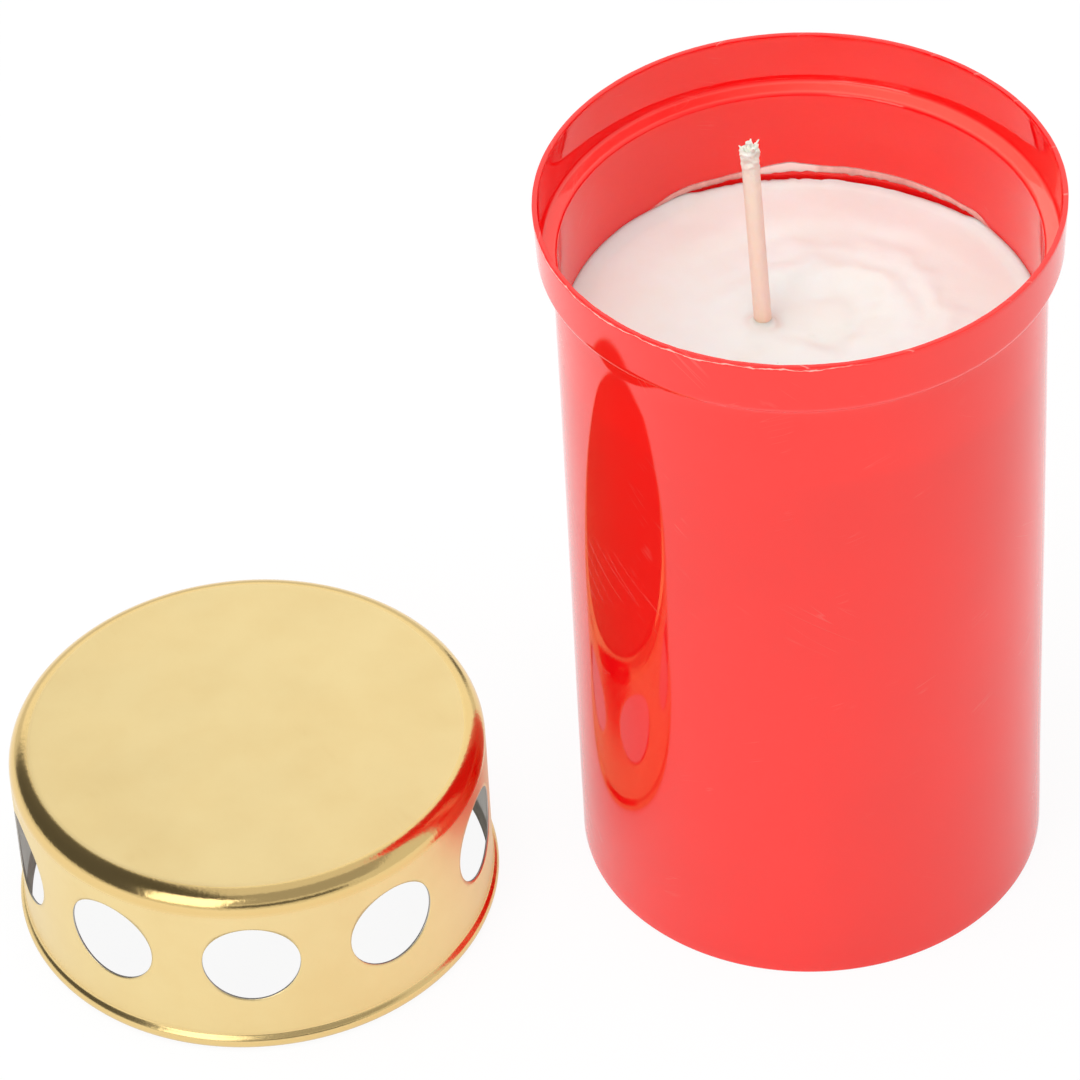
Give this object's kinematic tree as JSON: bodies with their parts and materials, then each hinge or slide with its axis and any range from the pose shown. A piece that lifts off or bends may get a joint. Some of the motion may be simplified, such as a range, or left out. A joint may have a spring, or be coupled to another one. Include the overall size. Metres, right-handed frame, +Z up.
{
  "type": "sanctuary lamp with ventilated lid",
  "caption": "Red plastic cup of poured wax with a wick, burned as a sanctuary or memorial light, with a vented gold metal lid set beside it.",
  "frame": {"origin": "centre of the underside of the cup, on the surface that the cup and the lid both stand on", "axes": "+Z up out of the cup's mouth; -X towards the lid lying beside the cup; +Y away from the usual viewer"},
  "size_m": [0.148, 0.07, 0.1182],
  "materials": {
    "red_plastic": "glossy translucent red moulded plastic",
    "wax": "cream-white poured paraffin wax, satin",
    "waxed_cotton": "braided cotton dipped in wax",
    "core_paper": "twisted paper, matt",
    "tinned_steel": "bright tinned sheet",
    "hot_glue": "clear hot-melt adhesive",
    "gold_lacquered_metal": "satin gold lacquer outside, bare metal inside"
  },
  "bodies": {
    "lamp": {"cup": "red_plastic", "wax": "wax", "wick_braid": "waxed_cotton", "wick_core": "core_paper", "wick_sustainer": "tinned_steel", "glue_dot": "hot_glue"},
    "lid": {"lid": "gold_lacquered_metal"}
  },
  "joints": [
    {"name": "lid_lift", "type": "slide", "parent": "lamp", "child": "lid", "axis": [0, 0, 1], "range_m": [0, 0.14]}
  ]
}
